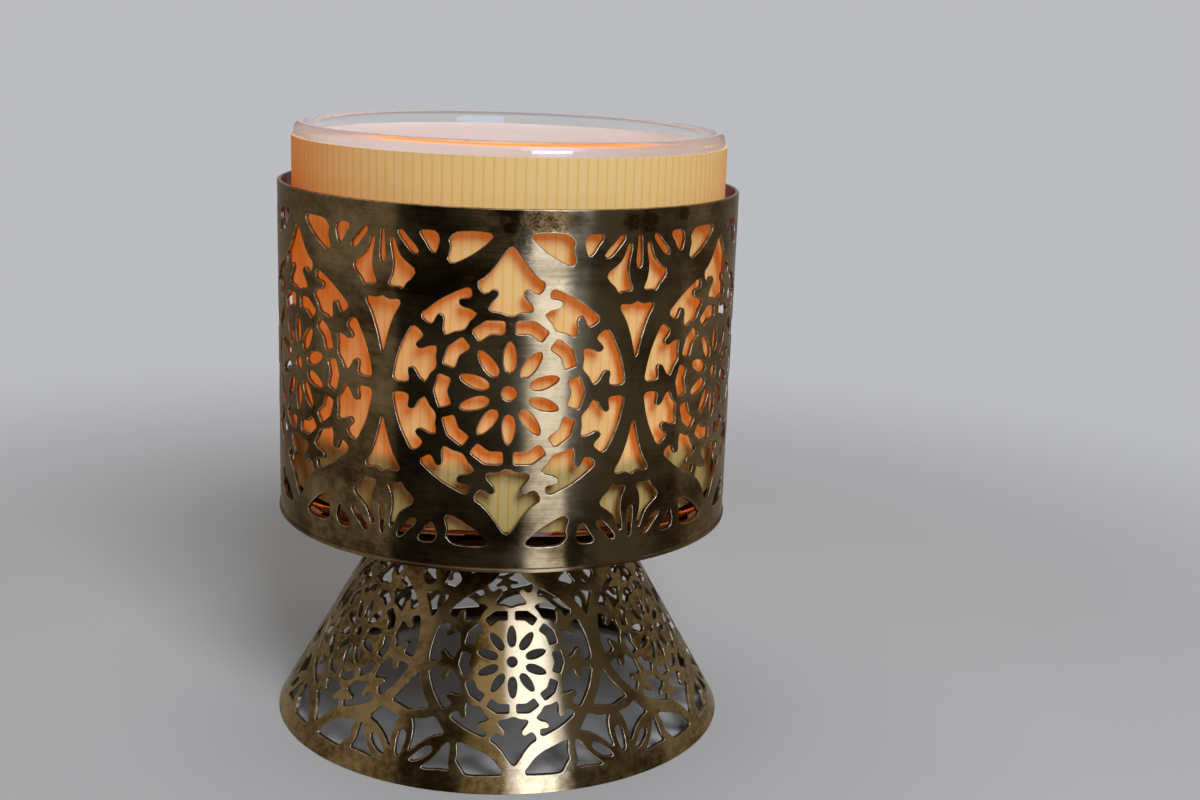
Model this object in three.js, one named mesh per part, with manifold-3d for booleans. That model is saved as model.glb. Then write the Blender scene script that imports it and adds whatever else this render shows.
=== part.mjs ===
// A perforated brass candle holder: a drum on a cone-shaped pedestal, with a three-wick jar candle in it.
// Both shells are flat perforated sheets that are rolled up, with one cell of the pattern six times round.
// Millimetres, +Z up, the front towards -Y, the origin at the middle of the circle that the foot stands on.
import * as THREE from 'three';
import Module from 'manifold-3d';
import { mergeVertices } from 'three/addons/utils/BufferGeometryUtils.js';

// Sheet metal
const SHEET = 0.8;
const DRUM_RADIUS = 53;
const DRUM_HEIGHT = 76;
const DRUM_BAND = 5.1; // plain strip above and below the perforations
const PLATE_LIP = 0.3; // how far the floor plate stands out past the drum
const FOOT_RADIUS = 54;
const NECK_RADIUS = 25;
const CONE_HEIGHT = 50.8;
const FOOT_BAND = 4.2; // plain strip at the foot, along the slope
const NECK_BAND = 5;
const FLANGE_WIDTH = 6; // turned in at the neck, spot-welded to the plate

// Perforations, as drawn on one flat cell with the medallion's centre at 0, 0
const CELLS = 6;
const CELL_WIDTH = 55.5;
const CELL_HEIGHT = 65.8;
const PETALS = 10;
const EYE_RADIUS = 1.55;
const PETAL_INNER = 4.4;
const PETAL_OUTER = 10.8;
const PETAL_WIDTH = 2.6;
const SLOT_INNER = 13.1; // corner radii of the ring of bent slots
const SLOT_OUTER = 15.9;
const SPOKE_WIDTH = 2.3;
const WAIST = 5.3; // metal left between two medallions
const FRAME_WIDE = (CELL_WIDTH - WAIST) / 2; // half axes of the oval round the medallion
const FRAME_TALL = 23.3;
const STEM_ROOT = [17.9, 1.65]; // side of a branch: distance from the centre and from the branch's middle
const PRONG_TIP = [20.9, 4.5];
const PRONG_TOP = [21.5, 1.8];
const STEM_HALF = 1.3;
const OGEE_SHOULDER = [6.8, 22.8];
const OGEE_TIP = 30.3;
const SEAM_WAIST = 5; // where the edge of a cell turns, between the cut shapes
const DRUM_TURN = THREE.MathUtils.degToRad(0.9);
const CONE_TURN = THREE.MathUtils.degToRad(4);

// Candle
const JAR_PLAY = 2.4; // room between the wrap and the drum
const JAR_HEIGHT = 89;
const JAR_WALL = 3.4;
const JAR_FLOOR = 8.2;
const JAR_PUNT = 1;
const FOOT_ROUND = 3;
const WRAP_THICKNESS = 0.3;
const WRAP_BOTTOM = 7.2;
const WRAP_TOP = 86;
const WAX_DEPTH = 13.3;
const WICKS = 3;
const WICK_CIRCLE = 20;
const WICK_RADIUS = 1.5;
const WICK_SHOWN = 7;
const CHARRED_RADIUS = 0.9;
const TAB_RADIUS = 10;
const TAB_THICKNESS = 0.5;
const NECK_HEIGHT = 5;
const NECK_WALL = 0.6;
const CLEARANCE = 0.3;

// Facets
const ROUND = 36;
const JAR_FACETS = 24;
const SMALL_ROUND = 8;
const EYE_FACETS = 6;
const PETAL_FACETS = 4;
const LIP_STEPS = 4;
const FOOT_STEPS = 2;
const SAME_POINT = 1e-3; // corners closer than this are one corner
const FLAT_LIMIT = 1e-6; // smaller areas count as none

const wasm = await Module();
wasm.setup();

const { PI, abs, atan2, cos, hypot, max, round, sin, sqrt } = Math;
const HALF_STEP = PI / PETALS;
const PLATE_TOP = CONE_HEIGHT + SHEET;
const WRAP_RADIUS = DRUM_RADIUS - SHEET - JAR_PLAY;
const JAR_RADIUS = WRAP_RADIUS - WRAP_THICKNESS - CLEARANCE;
const JAR_INSIDE = JAR_RADIUS - JAR_WALL;
const WAX_LEVEL = JAR_FLOOR + WAX_DEPTH;

const brass = (color) => new THREE.MeshStandardMaterial({ color, roughness: 0.38, metalness: 1 });
const glass = new THREE.MeshStandardMaterial({ color: 0xe9eef0, roughness: 0.05, metalness: 0 });
const paper = new THREE.MeshStandardMaterial({ color: 0xdcc292, roughness: 0.7, metalness: 0 });
const wax = new THREE.MeshStandardMaterial({ color: 0xe8dcc0, roughness: 0.5, metalness: 0 });
const cotton = new THREE.MeshStandardMaterial({ color: 0x6b5a48, roughness: 0.95, metalness: 0 });
const steel = new THREE.MeshStandardMaterial({ color: 0xb4b6b8, roughness: 0.35, metalness: 1 });

function named(name, geometry, material) {
  const mesh = new THREE.Mesh(geometry, material);
  mesh.name = name;
  return mesh;
}

// A point at a distance out along a ray from the medallion's centre, and to the left of that ray.
function onRay(angle, out, left) {
  return [out * cos(angle) - left * sin(angle), out * sin(angle) + left * cos(angle)];
}

// Where a line beside a ray meets the oval frame.
function onFrame(angle, left) {
  const [dx, dy] = [cos(angle) / FRAME_WIDE, sin(angle) / FRAME_TALL];
  const [nx, ny] = [(-left * sin(angle)) / FRAME_WIDE, (left * cos(angle)) / FRAME_TALL];
  const a = dx * dx + dy * dy;
  const b = dx * nx + dy * ny;
  const c = nx * nx + ny * ny - 1;
  return onRay(angle, (sqrt(b * b - a * c) - b) / a, left);
}

function oval(angle, middle, halfLength, halfWidth, facets) {
  const points = [];
  for (let i = 0; i < facets; i++) {
    const turn = (2 * PI * i) / facets;
    points.push(onRay(angle, middle + halfLength * cos(turn), halfWidth * sin(turn)));
  }
  return points;
}

// A slot with a bend in the middle, between two spokes.
function ringSlot(angle) {
  const flat = cos(HALF_STEP);
  const end = (side, radius) => onRay(angle + side * HALF_STEP, radius * flat, (-side * SPOKE_WIDTH) / 2);
  return [
    onRay(angle, SLOT_OUTER, 0),
    end(1, SLOT_OUTER),
    end(1, SLOT_INNER),
    end(-1, SLOT_INNER),
    end(-1, SLOT_OUTER),
  ];
}

// The edge of a branch from the ring outwards, with its side prong.
function branchEdge(angle, side) {
  return [STEM_ROOT, PRONG_TIP, PRONG_TOP].map(([out, left]) => onRay(angle, out, side * left));
}

// The window between two branches, closed by the oval frame.
function frameWindow(angle) {
  const right = angle - HALF_STEP;
  const left = angle + HALF_STEP;
  return [
    ...branchEdge(right, 1),
    onFrame(right, STEM_HALF),
    onFrame(left, -STEM_HALF),
    ...branchEdge(left, -1).reverse(),
  ];
}

// The window on the medallion's upright axis, which breaks through the frame to a point.
function ogeeWindow() {
  const [x, y] = OGEE_SHOULDER;
  const upright = PI / 2;
  return [
    ...branchEdge(upright - HALF_STEP, 1),
    [x, y],
    [0, OGEE_TIP],
    [-x, y],
    ...branchEdge(upright + HALF_STEP, -1).reverse(),
  ];
}

// Half of the ornament between two medallions, about its own upright axis.
// Heights run from the waist outwards. The corner shape is measured from the medallion's axis.
// The edge of the cell bends at the seam.
const DRUM_SPRAY = {
  middle: [
    [[-4.2, 17.9], [0, 7], [4.2, 17.9]],
    [[-0.75, 26], [0.75, 26], [0, 32.8]],
  ],
  sides: [
    [[2.3, 30.9], [1.6, 21.2], [4.8, 20.8], [7.5, 24.2]],
    [[3.8, 32.6], [7.5, 28], [8.4, 28.9]],
    [[8.8, 32.8], [11.8, 28.5], [12.6, 32.4]],
  ],
  corner: [[4.2, 32.7], [12.9, 26.8], [12, 32.9]],
  seam: [14, 26.5],
};
const CONE_TOP_SPRAY = {
  middle: [
    [[-6.2, 19.5], [0, 11.3], [6.2, 19.5]],
    [[-1.3, 25.8], [1.3, 25.8], [0, 32.4]],
  ],
  sides: [
    [[4.5, 31.5], [4.7, 26.6], [2.1, 22], [7.2, 21.8], [10.9, 24.9]],
    [[6.1, 32.4], [10.3, 27.5], [11.1, 28.3]],
    [[9.6, 32.5], [12.8, 28.9], [13.2, 32.4]],
  ],
  corner: DRUM_SPRAY.corner,
  seam: DRUM_SPRAY.seam,
};
const CONE_FOOT_SPRAY = {
  middle: [
    [[-3.8, 14.2], [0, 5.2], [3.8, 14.2], [0, 16.7]],
    [[-1, 23.6], [1, 23.6], [0, 30.6]],
  ],
  sides: [
    [[2.4, 28.2], [1.7, 18.9], [5.5, 16.3], [8.8, 21.3]],
    [[3.2, 31], [6.5, 25.5], [7.2, 26.8]],
    [[5.5, 32.4], [10.4, 23.6], [10.8, 31.7]],
  ],
  corner: [[3.5, 32.9], [7, 27.7], [15.2, 23.4], [15.3, 28.8], [13.5, 32.8]],
  seam: [16.15, 24],
};

const mirrorX = (points) => points.map(([x, y]) => [-x, y]);
const mirrorY = (points) => points.map(([x, y]) => [x, -y]);
const shifted = (points, by) => points.map(([x, y]) => [x + by, y]);

// The cut shapes of the upper half of a cell, outside the medallion's frame.
function sprayHoles(spray) {
  const ornament = [...spray.middle, ...spray.sides, ...spray.sides.map(mirrorX)];
  const beside = ornament.map((points) => shifted(points, -CELL_WIDTH / 2));
  return [ogeeWindow(), spray.corner, mirrorX(spray.corner), ...beside];
}

// All cut shapes of one cell, with one ornament above the waist and one below it.
function cellHoles(above, below) {
  const holes = [oval(0, 0, EYE_RADIUS, EYE_RADIUS, EYE_FACETS)];
  const middle = (PETAL_INNER + PETAL_OUTER) / 2;
  const reach = (PETAL_OUTER - PETAL_INNER) / 2;
  for (let i = 0; i < PETALS; i++) {
    const spoke = (2 * i + 1) * HALF_STEP;
    holes.push(oval(spoke, middle, reach, PETAL_WIDTH / 2, PETAL_FACETS));
    holes.push(ringSlot(2 * i * HALF_STEP));
    if (abs(cos(spoke)) > sin(HALF_STEP)) {
      holes.push(frameWindow(spoke));
    }
  }
  holes.push(...sprayHoles(above), ...sprayHoles(below).map(mirrorY));
  return holes;
}

// One edge of a cell, from the upper rim to the lower: it winds through solid metal only.
function cellEdge(upper, lower, above, below) {
  const waist = (CELL_WIDTH - WAIST / 2) / 2;
  const half = (spray, rim) => [[spray.seam[0], rim], spray.seam, [waist, SEAM_WAIST]];
  return [...half(above, upper), ...mirrorY(half(below, -lower)).reverse()];
}

function cellOutline(upper, lower, above, below) {
  const right = cellEdge(upper, lower, above, below);
  const left = shifted(right, -CELL_WIDTH).reverse();
  const steps = ROUND / CELLS;
  const rim = ([x, y], width) => {
    const points = [];
    for (let i = 1; i < steps; i++) {
      points.push([x + (width * i) / steps, y]);
    }
    return points;
  };
  return [...right, ...rim(right.at(-1), -CELL_WIDTH), ...left, ...rim(left.at(-1), CELL_WIDTH)];
}

const cross = (a, b, c) => (b.x - a.x) * (c.y - a.y) - (b.y - a.y) * (c.x - a.x);

function inCircle(a, b, c, d) {
  const rows = [a, b, c].map((p) => [p.x - d.x, p.y - d.y, (p.x - d.x) ** 2 + (p.y - d.y) ** 2]);
  const [[ax, ay, as], [bx, by, bs], [cx, cy, cs]] = rows;
  return ax * (by * cs - bs * cy) - ay * (bx * cs - bs * cx) + as * (bx * cy - by * cx) > FLAT_LIMIT;
}

// Swaps diagonals until the triangles are as compact as the outlines allow.
function compact(points, triangles) {
  for (let swapped = true; swapped; ) {
    swapped = false;
    const owner = new Map();
    triangles.forEach((t, i) => {
      t.forEach((a, k) => owner.set(`${a},${t[(k + 1) % 3]}`, [i, k]));
    });
    const touched = new Set();
    for (const [edge, [i, k]] of owner) {
      const [a, b] = edge.split(',').map(Number);
      const other = owner.get(`${b},${a}`);
      if (!other || touched.has(i) || touched.has(other[0])) continue;
      const c = triangles[i][(k + 2) % 3];
      const d = triangles[other[0]][(other[1] + 2) % 3];
      const [pa, pb, pc, pd] = [a, b, c, d].map((n) => points[n]);
      const convex = cross(pc, pa, pd) > FLAT_LIMIT && cross(pd, pb, pc) > FLAT_LIMIT;
      if (!convex || !inCircle(pa, pb, pc, pd)) continue;
      triangles[i] = [c, a, d];
      triangles[other[0]] = [d, b, c];
      touched.add(i).add(other[0]);
      swapped = true;
    }
  }
  return triangles;
}

// Triangles of one cell. They are found on a wide fan, where no three points of a rim lie on one line.
function cellTriangles(outline, holes) {
  const radius = 4 * CELL_HEIGHT;
  const onFan = ([x, y]) => {
    return new THREE.Vector2((radius + y) * sin(x / radius), (radius + y) * cos(x / radius));
  };
  const rim = outline.map(onFan);
  const cuts = holes.map((points) => points.map(onFan));
  const all = [...rim, ...cuts.flat()];
  const faces = THREE.ShapeUtils.triangulateShape(rim, cuts);
  const upright = faces.map(([a, b, c]) => (cross(all[a], all[b], all[c]) > 0 ? [a, b, c] : [a, c, b]));
  return compact(all, upright);
}

// Rolls the cells of flat sheet into a closed shell. place gives the radius, azimuth and height of a flat
// point, and wall is the sheet's thickness measured level. With a flange width the upper rim is turned in.
function rolledSheet(upper, lower, sprays, place, wall, flangeWidth = 0) {
  const outline = cellOutline(upper, lower, ...sprays);
  const holes = cellHoles(...sprays);
  const flat = [...outline, ...holes.flat()];
  const cell = cellTriangles(outline, holes);

  const sections = [];
  const found = new Map();
  const section = ([x, y], turn) => {
    const [radius, azimuth, z] = place(x, y);
    const a = azimuth + (turn * 2 * PI) / CELLS;
    const key = [radius * sin(a), radius * cos(a), z].map((v) => round(v / SAME_POINT)).join();
    if (!found.has(key)) {
      found.set(key, sections.length);
      const around = ([r, height]) => [r * sin(a), -r * cos(a), height];
      const turnedIn = flangeWidth && y === upper;
      const bend = turnedIn ? (place(x, y)[0] - place(x, 0)[0]) / (z - place(x, 0)[2]) : 0;
      const inside = turnedIn ? [radius - wall - SHEET * bend, z - SHEET] : [radius - wall, z];
      const lip = radius - wall - flangeWidth;
      const flange = turnedIn ? [[lip, z], [lip, z - SHEET]] : [];
      sections.push([[radius, z], ...flange, inside].map(around));
    }
    return found.get(key);
  };
  const skin = [];
  for (let turn = 0; turn < CELLS; turn++) {
    const at = flat.map((point) => section(point, turn));
    skin.push(...cell.map((face) => face.map((n) => at[n])));
  }

  const starts = [];
  const positions = sections.flatMap((corners, n) => {
    starts.push(n ? starts[n - 1] + sections[n - 1].length : 0);
    return corners.flat();
  });
  const last = (n) => starts[n] + sections[n].length - 1;
  const edges = new Set(skin.flatMap(([a, b, c]) => [`${a},${b}`, `${b},${c}`, `${c},${a}`]));
  const index = skin.flatMap(([a, b, c]) => [starts[a], starts[b], starts[c], last(a), last(c), last(b)]);
  for (const edge of edges) {
    const [a, b] = edge.split(',').map(Number);
    if (edges.has(`${b},${a}`)) continue;
    for (let i = 1; i < sections[a].length; i++) {
      const [a0, b0] = [starts[a] + i - 1, starts[b] + i - 1];
      index.push(b0, a0, b0 + 1, a0, a0 + 1, b0 + 1);
    }
  }
  return solid(positions, index);
}

function solid(positions, index) {
  const geometry = new THREE.BufferGeometry();
  geometry.setAttribute('position', new THREE.Float32BufferAttribute(positions, 3));
  geometry.setIndex(index);
  geometry.computeVertexNormals();
  return geometry;
}

// A closed profile of radius and height, turned round the upright axis.
function turned(profile, facets) {
  const points = profile.map(([radius, z]) => new THREE.Vector2(radius, z));
  return new THREE.LatheGeometry(points, facets).rotateX(PI / 2);
}

function toManifold(geometry) {
  const bare = geometry.clone();
  bare.deleteAttribute('normal');
  bare.deleteAttribute('uv');
  const merged = mergeVertices(bare, SAME_POINT);
  const vertProperties = new Float32Array(merged.attributes.position.array);
  const triVerts = new Uint32Array(merged.index.array);
  return new wasm.Manifold(new wasm.Mesh({ numProp: 3, vertProperties, triVerts }));
}

function fromManifold(body) {
  const { vertProperties, triVerts } = body.getMesh();
  return solid(Array.from(vertProperties), Array.from(triVerts));
}

function drumSleeve() {
  const scale = (DRUM_HEIGHT - 2 * DRUM_BAND) / CELL_HEIGHT;
  const rim = DRUM_HEIGHT / 2 / scale;
  const place = (x, y) => {
    const azimuth = DRUM_TURN + (x / CELL_WIDTH / CELLS) * 2 * PI;
    return [DRUM_RADIUS, azimuth, DRUM_HEIGHT / 2 + y * scale];
  };
  return rolledSheet(rim, -rim, [DRUM_SPRAY, DRUM_SPRAY], place, SHEET);
}

function floorPlate() {
  const radius = DRUM_RADIUS + PLATE_LIP;
  return turned([[0, -SHEET], [radius, -SHEET], [radius, 0], [0, 0]], ROUND);
}

// On the cone the medallions lie undistorted on the fan-shaped sheet.
// The ornaments between them spread with it.
function pedestalCone() {
  const slant = hypot(FOOT_RADIUS - NECK_RADIUS, CONE_HEIGHT);
  const taper = (FOOT_RADIUS - NECK_RADIUS) / slant;
  const zone = slant - FOOT_BAND - NECK_BAND;
  const fanFoot = FOOT_RADIUS / taper;
  const fanMiddle = fanFoot - FOOT_BAND - zone / 2;
  const tall = zone / CELL_HEIGHT;
  const wide = (2 * PI * fanMiddle * taper) / CELLS / CELL_WIDTH;
  const upper = (zone / 2 + NECK_BAND) / tall;
  const lower = -(zone / 2 + FOOT_BAND) / tall;
  const place = (x, y) => {
    const cell = round(x / CELL_WIDTH);
    const side = x - cell * CELL_WIDTH;
    const edge = max(OGEE_SHOULDER[0], FRAME_WIDE * sqrt(max(0, 1 - (y / FRAME_TALL) ** 2)));
    const rim = y > 0 ? upper : -lower;
    const spread = max(
      THREE.MathUtils.smoothstep(abs(side), edge, CELL_WIDTH / 2),
      THREE.MathUtils.smoothstep(abs(y), CELL_HEIGHT / 2, rim),
    );
    const down = fanMiddle - y * tall;
    const lerp = (undistorted, spreadOut) => undistorted + (spreadOut - undistorted) * spread;
    const fan = lerp(hypot(down, side * wide), down);
    const angle = lerp(atan2(side * wide, down) / taper, (side / CELL_WIDTH / CELLS) * 2 * PI);
    const azimuth = CONE_TURN + angle + (cell / CELLS) * 2 * PI;
    return [fan * taper, azimuth, ((fanFoot - fan) * CONE_HEIGHT) / slant];
  };
  const wall = (SHEET * slant) / CONE_HEIGHT;
  return rolledSheet(upper, lower, [CONE_TOP_SPRAY, CONE_FOOT_SPRAY], place, wall, FLANGE_WIDTH);
}

function jarGlass() {
  const lip = JAR_WALL / 2;
  const arc = (cx, cz, radius, from, to, steps) => {
    const points = [];
    for (let i = 0; i <= steps; i++) {
      const turn = from + ((to - from) * i) / steps;
      points.push([cx + radius * cos(turn), cz + radius * sin(turn)]);
    }
    return points;
  };
  const foot = JAR_RADIUS - FOOT_ROUND;
  const profile = [
    [0, JAR_PUNT],
    [foot - 2 * FOOT_ROUND, JAR_PUNT],
    [foot - FOOT_ROUND, 0],
    ...arc(foot, FOOT_ROUND, FOOT_ROUND, -PI / 2, 0, FOOT_STEPS),
    ...arc(JAR_RADIUS - lip, JAR_HEIGHT - lip, lip, 0, PI, LIP_STEPS),
    ...arc(JAR_INSIDE - FOOT_ROUND, JAR_FLOOR + FOOT_ROUND, FOOT_ROUND, 0, -PI / 2, FOOT_STEPS),
    [0, JAR_FLOOR],
  ];
  return turned(profile, JAR_FACETS);
}

function jarWrap() {
  const inside = WRAP_RADIUS - WRAP_THICKNESS;
  const corner = [inside, WRAP_BOTTOM];
  const outside = [[WRAP_RADIUS, WRAP_BOTTOM], [WRAP_RADIUS, WRAP_TOP]];
  return turned([corner, ...outside, [inside, WRAP_TOP], corner], JAR_FACETS);
}

// Profile of a wick tab: a stamped disc with a crimped neck. grow widens it for the hollow in the wax.
function tabProfile(bore, grow) {
  const neck = WICK_RADIUS + CLEARANCE + NECK_WALL + grow;
  return [
    [bore, 0],
    [TAB_RADIUS + grow, 0],
    [TAB_RADIUS + grow, TAB_THICKNESS + grow],
    [neck, TAB_THICKNESS + grow],
    [neck, NECK_HEIGHT + grow],
    [bore, NECK_HEIGHT + grow],
  ];
}

function wickTab() {
  const profile = tabProfile(WICK_RADIUS + CLEARANCE, 0);
  return turned([...profile, profile[0]], SMALL_ROUND);
}

function wick() {
  const top = WAX_LEVEL + WICK_SHOWN;
  const bottom = JAR_FLOOR + CLEARANCE;
  const side = [[WICK_RADIUS, bottom], [WICK_RADIUS, top - WICK_RADIUS], [CHARRED_RADIUS, top]];
  return turned([[0, bottom], ...side, [0, top]], SMALL_ROUND);
}

const wickPlaces = Array.from({ length: WICKS }, (_, i) => {
  const azimuth = (2 * PI * i) / WICKS;
  return [WICK_CIRCLE * sin(azimuth), -WICK_CIRCLE * cos(azimuth)];
});

function waxFill() {
  const radius = JAR_INSIDE - CLEARANCE;
  const foot = radius - FOOT_ROUND;
  const profile = [
    [0, JAR_FLOOR],
    [foot - CLEARANCE, JAR_FLOOR],
    [radius, JAR_FLOOR + FOOT_ROUND + CLEARANCE],
    [radius, WAX_LEVEL + CLEARANCE],
    [radius - FOOT_ROUND, WAX_LEVEL],
    [0, WAX_LEVEL],
  ];
  let body = toManifold(turned(profile, JAR_FACETS));
  const hole = WICK_RADIUS + CLEARANCE;
  const [, ...steps] = tabProfile(0, CLEARANCE).slice(0, -1);
  const below = JAR_FLOOR - TAB_THICKNESS;
  const above = WAX_LEVEL + TAB_THICKNESS;
  const tool = [[0, below], [steps[0][0], below]];
  tool.push(...steps.slice(1).map(([radius, z]) => [radius, JAR_FLOOR + z]));
  tool.push([hole, JAR_FLOOR + NECK_HEIGHT + CLEARANCE], [hole, above], [0, above]);
  for (const [x, y] of wickPlaces) {
    body = body.subtract(toManifold(turned(tool, SMALL_ROUND).translate(x, y, 0)));
  }
  return fromManifold(body);
}

const holder = new THREE.Group();
holder.add(named('pedestal_cone', pedestalCone(), brass(0x7d6236)));
const upperPart = new THREE.Group();
upperPart.position.z = PLATE_TOP;
upperPart.add(named('floor_plate', floorPlate(), brass(0x6f5a38)));
upperPart.add(named('drum_sleeve', drumSleeve(), brass(0x5f4f36)));

const candle = new THREE.Group();
candle.add(named('jar_glass', jarGlass(), glass));
candle.add(named('jar_wrap', jarWrap(), paper));
candle.add(named('wax_fill', waxFill(), wax));
wickPlaces.forEach(([x, y], i) => {
  const tab = named(`wick_tab_${i + 1}`, wickTab(), steel);
  tab.position.set(x, y, JAR_FLOOR);
  const cord = named(`wick_${i + 1}`, wick(), cotton);
  cord.position.set(x, y, 0);
  candle.add(tab, cord);
});
upperPart.add(candle);
holder.add(upperPart);

export default holder;
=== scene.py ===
# The looks of a perforated brass candle holder and the jar candle that stands in it.
# Sizes are in millimetres and become metres where a mesh is made. The front faces -Y.
from math import atan2, cos, hypot, pi, radians, sin, sqrt

import bpy
from mathutils import Matrix, Vector
from mathutils.geometry import delaunay_2d_cdt


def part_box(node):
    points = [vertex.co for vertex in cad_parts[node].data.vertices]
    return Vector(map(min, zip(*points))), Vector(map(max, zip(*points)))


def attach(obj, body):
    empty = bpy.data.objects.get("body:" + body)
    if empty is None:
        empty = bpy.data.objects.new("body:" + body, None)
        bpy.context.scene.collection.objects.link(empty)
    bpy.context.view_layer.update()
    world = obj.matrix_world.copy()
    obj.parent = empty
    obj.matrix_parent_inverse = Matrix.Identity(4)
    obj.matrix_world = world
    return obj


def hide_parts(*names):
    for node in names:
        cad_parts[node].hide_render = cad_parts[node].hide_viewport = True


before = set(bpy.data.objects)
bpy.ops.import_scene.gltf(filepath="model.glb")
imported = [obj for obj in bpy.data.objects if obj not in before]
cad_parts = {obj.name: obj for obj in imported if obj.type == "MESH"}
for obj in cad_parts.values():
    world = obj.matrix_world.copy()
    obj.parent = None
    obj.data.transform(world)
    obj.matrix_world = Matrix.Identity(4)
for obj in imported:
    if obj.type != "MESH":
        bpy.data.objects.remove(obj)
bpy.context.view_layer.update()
MM = 0.001

# Brass sheets
SHEET = 0.8
EDGE_BEVEL = 0.22
DRUM_RADIUS = 53.0
DRUM_BAND = 5.1
PLATE_RADIUS = 53.3
PLATE_ROUND = 0.25
FOOT_RADIUS = 54.0
NECK_RADIUS = 25.0
FOOT_BAND = 4.2
NECK_BAND = 5.0
FLANGE_WIDTH = 6.0
DRUM_TURN = radians(0.9)
CONE_TURN = radians(4.0)

# Perforations on one flat cell, with the medallion's centre at 0, 0
CELLS = 6
CELL_WIDTH = 55.5
CELL_HEIGHT = 65.8
PETALS = 10
HALF_STEP = pi / PETALS
EYE_RADIUS = 1.55
PETAL_INNER = 4.4
PETAL_OUTER = 10.8
PETAL_HALF_WIDTH = 1.3
PETAL_TAPER = 0.18
SLOT_INNER = 13.1
SLOT_OUTER = 15.9
SPOKE_WIDTH = 2.3
SLOT_CORNER = 0.6
RING_RADIUS = 16.3
WAIST = 5.3
FRAME_WIDE = (CELL_WIDTH - WAIST) / 2
FRAME_TALL = 23.3
STEM_HALF = 1.3
FRAME_CORNER = 0.5
OGEE_SHOULDER = 6.8

# One side of a branch, from the ring outwards: distance from the medallion's centre and from the
# branch's middle
BRANCH = [(16.86, 3.35), (17.9, 1.65), (18.85, 2.3), (20.1, 4.2), (20.8, 4.55), (21.6, 4.3),
          (21.75, 3.6), (21.5, 2.2), (21.6, 1.55), (22.3, 1.27)]
# Right half of the window on the upright axis, from its tip down to the ring
OGEE = [(0, 30.3), (0.6, 30), (1.7, 28.6), (3.5, 26), (5.5, 23.9), (6.7, 23.1), (6.8, 22.5),
        (6.15, 21.2), (5.5, 20.75), (4.6, 21.05), (3.9, 21.6), (3.1, 21.7), (2.5, 21.1),
        (2.6, 20.3), (3.4, 19.3), (4.4, 18), (4.45, 17.4), (3.8, 17.1), (2, 16.9), (0, 16.2)]
# Half of the ornament between two medallions, with heights from the waist outwards. The first two
# shapes are right halves that start and end on the ornament's own upright axis, and the others stand
# to the right of it. The corner shape is measured from the medallion's axis. The seam runs between
# the shapes, from the rim to the waist.
DRUM_SPRAY = {
    "halves": [
        [(0, 6.9), (0.25, 7.3), (0.55, 8.5), (1.55, 12), (2.75, 15), (4.2, 17.5), (4.1, 18),
         (3.6, 18.2), (1.75, 18), (0.55, 18.4), (0, 18.7)],
        [(0, 25.7), (0.45, 25.95), (0.65, 27), (0.58, 29), (0.42, 31), (0.3, 32.3), (0, 32.7)]],
    "sides": [
        [(2.65, 30.9), (2.05, 30.7), (2.15, 29), (2.55, 27), (2.65, 25), (2.25, 23), (1.55, 21.5),
         (1.75, 21.1), (4.05, 21), (4.55, 20.6), (4.95, 21), (5.55, 21.9), (6.85, 23.1),
         (7.5, 24.1), (7.25, 24.9), (5.75, 26), (4.25, 27.3), (3.45, 28.8), (2.95, 30.2)],
        [(4.55, 32.6), (3.85, 32.6), (3.75, 32), (5.25, 30), (7.05, 28.2), (8.0, 28.05),
         (8.25, 28.6), (7.75, 29.4), (6.25, 30.9)],
        [(11.85, 32.8), (8.95, 32.8), (8.75, 32.2), (9.75, 30.8), (10.75, 29.2), (11.35, 28.6),
         (11.95, 28.6), (12.45, 30), (12.75, 31.2), (12.45, 32.3)]],
    "corner": [(4.0, 32.4), (4.4, 32.9), (11.2, 32.9), (12.3, 32.1), (12.8, 31.4), (12.5, 30.2),
               (12.6, 29.2), (13.1, 27.4), (12.6, 26.7), (11.9, 26.7), (9, 28.1), (6, 30.2)],
    "seam": [(14, 26.5), (26.4, 5)]}
CONE_TOP_SPRAY = {
    "halves": [
        [(0, 11.3), (0.5, 12.1), (2.2, 14.6), (4.6, 17.3), (6.2, 19), (6.1, 19.6), (4.6, 19.4),
         (2.9, 19.1), (1.3, 19.5), (0, 19.6)],
        [(0, 25), (1.0, 25.6), (1.35, 27.2), (1.15, 29.3), (0.7, 31.6), (0, 32.3)]],
    "sides": [
        [(2.1, 22.4), (2.6, 21.9), (4.6, 21.6), (7.3, 21.9), (9.3, 23.2), (10.8, 24.5),
         (10.7, 25.3), (9.2, 26.6), (7.0, 28.2), (5.6, 30), (4.8, 31.4), (4.35, 31.2),
         (4.5, 29.4), (4.8, 27.6), (4.5, 26.2), (3.6, 24.5), (2.5, 23)],
        [(6.2, 32.4), (6.0, 31.5), (8.0, 29.2), (10.2, 27.5), (11.1, 27.5), (10.9, 28.5),
         (9.2, 30.4), (7.2, 32.2)],
        [(9.6, 32.6), (9.6, 32), (11, 30.5), (12.1, 29.1), (12.7, 28.9), (13.0, 30.2),
         (13.2, 31.6), (12.8, 32.5)]],
    "corner": DRUM_SPRAY["corner"],
    "seam": DRUM_SPRAY["seam"]}
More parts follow.
